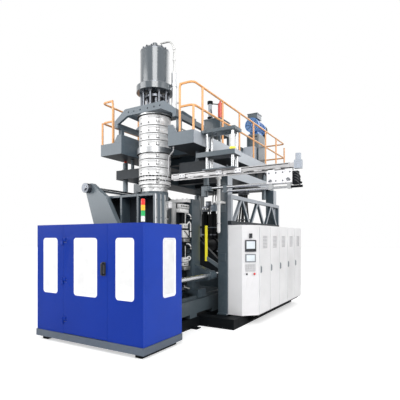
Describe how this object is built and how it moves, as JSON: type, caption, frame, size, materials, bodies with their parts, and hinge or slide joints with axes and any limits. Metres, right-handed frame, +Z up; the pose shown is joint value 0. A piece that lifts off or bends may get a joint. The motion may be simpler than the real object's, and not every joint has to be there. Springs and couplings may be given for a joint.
{
  "type": "blow moulding machine",
  "caption": "Accumulator-head extrusion blow moulding machine for large drums, with clamp, moulds, die head, raised extruder platform, guard, cabinet and take-out robot.",
  "frame": {"origin": "on the floor, on the vertical axis of the die head", "axes": "+X to the right along the guard's front, +Y from the guard back to the drive motor, +Z up"},
  "size_m": [4.3193, 6.8363, 5.728],
  "materials": {
    "dark_frame": "dark blue-grey satin paint",
    "base_black": "near-black paint, slightly worn",
    "grey_paint": "blue-grey satin paint",
    "light_grey_paint": "light grey satin paint",
    "guard_blue": "royal blue gloss paint",
    "cabinet_white": "white powder coat",
    "orange_paint": "orange gloss paint",
    "red_paint": "red gloss paint",
    "motor_blue": "blue motor enamel",
    "yellow_paint": "safety yellow paint",
    "stainless": "brushed stainless sheet",
    "ground_steel": "ground and machined steel",
    "chrome_rod": "hard chrome",
    "aluminium": "anodised aluminium",
    "mould_steel": "machined mould metal",
    "pane": "frosted clear sheet",
    "black_plastic": "black moulded plastic",
    "red_plastic": "red moulded plastic",
    "lamp_plastic": "coloured lenses"
  },
  "bodies": {
    "machine_frame": {"base_frame": "base_black", "clamp_bed": "grey_paint", "columns": "dark_frame", "top_frame": "dark_frame", "side_trusses": "light_grey_paint", "platform_guides": "grey_paint", "guard_frame": "guard_blue", "guard_panels": "guard_blue", "guard_windows": "pane", "signal_lamp": "lamp_plastic", "cabinet_shell": "cabinet_white", "operator_panels": "black_plastic", "air_pipe": "ground_steel", "hydraulic_unit": "dark_frame", "blow_unit": "grey_paint", "light_curtain": "yellow_paint"},
    "extruder_platform": {"platform_frame": "dark_frame", "platform_deck": "dark_frame", "railing": "orange_paint", "jack_rods": "chrome_rod", "head_body": "ground_steel", "heater_bands": "stainless", "head_yoke": "dark_frame", "head_tie_rods": "chrome_rod", "top_cylinder": "dark_frame", "die_neck": "stainless", "die_sleeve": "dark_frame", "extruder_barrel": "stainless", "feed_chute": "stainless", "gearbox": "dark_frame", "drive_motor": "motor_blue", "servo_unit": "dark_frame", "accumulator_bottle": "red_paint"},
    "ram": {"accumulator_ram": "chrome_rod"},
    "mandrel": {"die_mandrel": "ground_steel"},
    "screw": {"extruder_screw": "ground_steel"},
    "guard_door": {"safety_door": "guard_blue", "door_window": "pane", "door_handle": "black_plastic"},
    "pull_frame": {"front_platen": "dark_frame", "front_mould": "mould_steel", "tie_bars": "chrome_rod", "end_plates": "grey_paint", "clamp_cylinder": "dark_frame"},
    "rear_clamp": {"rear_platen": "dark_frame", "rear_mould": "mould_steel", "mould_cylinder": "ground_steel"},
    "pin": {"blow_pin": "chrome_rod"},
    "robot_lift": {"robot_posts": "chrome_rod", "robot_beam": "aluminium"},
    "carriage": {"robot_carriage": "aluminium"},
    "jaw_front": {"gripper_jaw_front": "dark_frame"},
    "jaw_rear": {"gripper_jaw_rear": "dark_frame"},
    "stop_button": {"emergency_stop": "red_plastic"},
    "selector": {"selector_switch": "black_plastic"},
    "cabinet_leaf_1": {"cabinet_door_1": "cabinet_white"},
    "cabinet_leaf_2": {"cabinet_door_2": "cabinet_white"},
    "cabinet_leaf_3": {"cabinet_door_3": "cabinet_white"},
    "cabinet_leaf_4": {"cabinet_door_4": "cabinet_white"},
    "cabinet_leaf_5": {"cabinet_door_5": "cabinet_white"}
  },
  "joints": [
    {"name": "platform_height", "type": "slide", "parent": "machine_frame", "child": "extruder_platform", "axis": [0, 0, 1], "range_m": [0, 0.22]},
    {"name": "ram_stroke", "type": "slide", "parent": "extruder_platform", "child": "ram", "axis": [0, 0, -1], "range_m": [0, 0.12]},
    {"name": "die_gap", "type": "slide", "parent": "extruder_platform", "child": "mandrel", "axis": [0, 0, -1], "range_m": [0, 0.03]},
    {"name": "screw_turn", "type": "hinge", "parent": "extruder_platform", "child": "screw", "pos_m": [0, 1, 4.08], "axis": [0, 1, 0], "continuous": true},
    {"name": "guard_door_swing", "type": "hinge", "parent": "machine_frame", "child": "guard_door", "pos_m": [-0.518, -1.85, 0], "axis": [0, 0, 1], "range_deg": [-100, 0]},
    {"name": "front_clamp", "type": "slide", "parent": "machine_frame", "child": "pull_frame", "axis": [0, -1, 0], "range_m": [0, 0.35]},
    {"name": "rear_clamp_slide", "type": "slide", "parent": "machine_frame", "child": "rear_clamp", "axis": [0, 1, 0], "range_m": [0, 0.35]},
    {"name": "blow_pin_lift", "type": "slide", "parent": "machine_frame", "child": "pin", "axis": [0, 0, 1], "range_m": [0, 0.14]},
    {"name": "robot_height", "type": "slide", "parent": "machine_frame", "child": "robot_lift", "axis": [0, 0, 1], "range_m": [0, 0.18]},
    {"name": "take_out_travel", "type": "slide", "parent": "robot_lift", "child": "carriage", "axis": [-1, 0, 0], "range_m": [0, 0.78]},
    {"name": "grip_front", "type": "slide", "parent": "carriage", "child": "jaw_front", "axis": [0, -1, 0], "range_m": [0, 0.05]},
    {"name": "grip_rear", "type": "slide", "parent": "carriage", "child": "jaw_rear", "axis": [0, 1, 0], "range_m": [0, 0.05]},
    {"name": "cabinet_leaf_1_swing", "type": "hinge", "parent": "machine_frame", "child": "cabinet_leaf_1", "pos_m": [1.835, 1.676, 0], "axis": [0, 0, 1], "range_deg": [0, 95]},
    {"name": "cabinet_leaf_2_swing", "type": "hinge", "parent": "machine_frame", "child": "cabinet_leaf_2", "pos_m": [1.835, 2.291, 0], "axis": [0, 0, 1], "range_deg": [0, 95]},
    {"name": "cabinet_leaf_3_swing", "type": "hinge", "parent": "machine_frame", "child": "cabinet_leaf_3", "pos_m": [1.835, 2.906, 0], "axis": [0, 0, 1], "range_deg": [0, 95]},
    {"name": "cabinet_leaf_4_swing", "type": "hinge", "parent": "machine_frame", "child": "cabinet_leaf_4", "pos_m": [1.835, 3.521, 0], "axis": [0, 0, 1], "range_deg": [0, 95]},
    {"name": "cabinet_leaf_5_swing", "type": "hinge", "parent": "machine_frame", "child": "cabinet_leaf_5", "pos_m": [1.835, 4.136, 0], "axis": [0, 0, 1], "range_deg": [0, 95]},
    {"name": "stop_press", "type": "slide", "parent": "machine_frame", "child": "stop_button", "axis": [-0.7071, 0.7071, 0], "range_m": [0, 0.006], "stiffness_N_per_m": 800},
    {"name": "selector_turn", "type": "hinge", "parent": "machine_frame", "child": "selector", "pos_m": [1.63993, 0.86993, 1.052], "axis": [0.7071, -0.7071, 0], "range_deg": [-45, 45]}
  ],
  "couplings": [
    {"joint": "rear_clamp_slide", "follows": "front_clamp", "ratio": 1},
    {"joint": "grip_rear", "follows": "grip_front", "ratio": 1}
  ]
}
